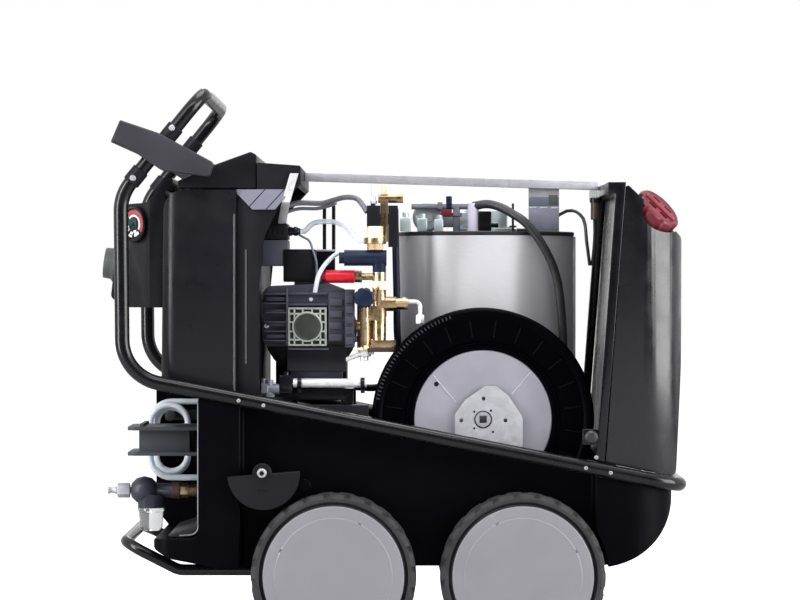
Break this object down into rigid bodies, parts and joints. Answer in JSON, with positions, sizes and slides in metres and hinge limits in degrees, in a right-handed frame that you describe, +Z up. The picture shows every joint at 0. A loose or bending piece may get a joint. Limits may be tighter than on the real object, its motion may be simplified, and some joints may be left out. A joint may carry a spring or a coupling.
{
  "type": "pressure washer",
  "caption": "Mobile hot-water pressure washer on four wheels with its covers off, showing boiler, pump, hose reel and fuel tank.",
  "frame": {"origin": "on the floor under the middle of the machine", "axes": "+X from the push handle to the fuel tank, +Y away from the hose reel side, +Z up"},
  "size_m": [1.1398, 0.67, 1.0875],
  "materials": {
    "black_plastic": "satin moulded black",
    "tube_black": "powder-coated satin black",
    "horn_grey": "matt dark grey moulding",
    "tyre_rubber": "matt black tread",
    "hose_rubber": "satin black rubber",
    "wheel_grey": "satin light grey moulding",
    "galvanised": "galvanised sheet",
    "stainless": "brushed stainless steel",
    "brass": "machined brass",
    "red_plastic": "red moulding",
    "cast_grey": "dark cast housing",
    "aluminium": "die-cast aluminium",
    "pale_hose": "pale blue-grey soft hose",
    "knob_blue": "blue-black moulding",
    "reel_grey": "pale grey sheet",
    "clear_bowl": "clear filter bowl",
    "grey_plastic": "dark grey moulding"
  },
  "bodies": {
    "machine": {"chassis_tub": "black_plastic", "frame_tube_right": "tube_black", "frame_tube_left": "tube_black", "push_handle": "tube_black", "bumper_bar": "tube_black", "foot_bar": "tube_black", "hose_horn_right": "horn_grey", "hose_horn_left": "horn_grey", "rear_axle": "galvanised", "front_axle": "galvanised", "reel_bearing_plate": "galvanised", "reel_swivel_bracket": "galvanised", "boiler_shell": "stainless", "boiler_lid": "galvanised", "burner_head": "aluminium", "pressure_hose": "hose_rubber", "top_rail": "galvanised", "tank_arch": "tube_black", "fuel_tank": "black_plastic", "fuel_line": "hose_rubber", "electric_motor": "cast_grey", "pump_crankcase": "cast_grey", "pump_cover_plate": "aluminium", "pump_head": "cast_grey", "brass_manifold": "brass", "pressure_switch": "knob_blue", "valve_stack": "brass", "solenoid_coils": "black_plastic", "bypass_cap": "red_plastic", "clear_hose": "pale_hose", "engine_cradle": "tube_black", "float_tank": "black_plastic", "contactor_box": "black_plastic", "tower_shell": "black_plastic", "tower_bulkhead": "black_plastic", "control_panel": "black_plastic", "pressure_gauge": "stainless", "inlet_panel": "galvanised", "filter_head": "black_plastic", "inlet_coupling": "galvanised", "brass_union": "brass", "cable_winder": "grey_plastic", "hose_hank": "pale_hose"},
    "wheel_rear_right_body": {"tyre_rear_right": "tyre_rubber", "wheel_rear_right": "wheel_grey"},
    "wheel_rear_left_body": {"tyre_rear_left": "tyre_rubber", "wheel_rear_left": "wheel_grey"},
    "wheel_front_right_body": {"tyre_front_right": "tyre_rubber", "wheel_front_right": "wheel_grey"},
    "wheel_front_left_body": {"tyre_front_left": "tyre_rubber", "wheel_front_left": "wheel_grey"},
    "reel": {"reel_drum": "black_plastic", "reel_hub": "reel_grey"},
    "brake": {"brake_pedal": "black_plastic"},
    "flap": {"tower_flap": "black_plastic"},
    "switch": {"rotary_switch": "grey_plastic"},
    "unloader": {"unloader_knob": "knob_blue"},
    "latch": {"latch_knob": "hose_rubber"},
    "cap": {"fuel_cap": "red_plastic"},
    "bowl": {"filter_bowl": "clear_bowl"}
  },
  "joints": [
    {"name": "wheel_rear_right_spin", "type": "hinge", "parent": "machine", "child": "wheel_rear_right_body", "pos_m": [-0.1069, -0.295, 0.15641], "axis": [0, 1, 0], "continuous": true},
    {"name": "wheel_rear_left_spin", "type": "hinge", "parent": "machine", "child": "wheel_rear_left_body", "pos_m": [-0.1069, 0.295, 0.15641], "axis": [0, 1, 0], "continuous": true},
    {"name": "wheel_front_right_spin", "type": "hinge", "parent": "machine", "child": "wheel_front_right_body", "pos_m": [0.2521, -0.295, 0.15641], "axis": [0, 1, 0], "continuous": true},
    {"name": "wheel_front_left_spin", "type": "hinge", "parent": "machine", "child": "wheel_front_left_body", "pos_m": [0.2521, 0.295, 0.15641], "axis": [0, 1, 0], "continuous": true},
    {"name": "reel_spin", "type": "hinge", "parent": "machine", "child": "reel", "pos_m": [0.1787, -0.189, 0.4504], "axis": [0, 1, 0], "continuous": true},
    {"name": "brake_press", "type": "hinge", "parent": "machine", "child": "brake", "pos_m": [-0.2429, -0.301, 0.352], "axis": [0, 1, 0], "range_deg": [-4, 10]},
    {"name": "flap_open", "type": "hinge", "parent": "machine", "child": "flap", "pos_m": [-0.2552, 0, 0.9585], "axis": [0, 1, 0], "range_deg": [0, 55]},
    {"name": "switch_turn", "type": "hinge", "parent": "machine", "child": "switch", "pos_m": [-0.5371, -0.05, 0.749], "axis": [-0.9925, 0, 0.1224], "range_deg": [0, 240]},
    {"name": "unloader_turn", "type": "hinge", "parent": "machine", "child": "unloader", "pos_m": [-0.0499, -0.24, 0.684], "axis": [0, 1, 0], "range_deg": [-180, 180]},
    {"name": "latch_turn", "type": "hinge", "parent": "machine", "child": "latch", "pos_m": [0.3831, -0.295, 0.419], "axis": [0, 1, 0], "range_deg": [0, 90]},
    {"name": "cap_lift", "type": "slide", "parent": "machine", "child": "cap", "axis": [0.6197, -0.4226, 0.6614], "range_m": [0, 0.06]},
    {"name": "bowl_turn", "type": "hinge", "parent": "machine", "child": "bowl", "pos_m": [-0.4689, -0.12, 0.249], "axis": [0, 0, 1], "range_deg": [0, 90]}
  ]
}
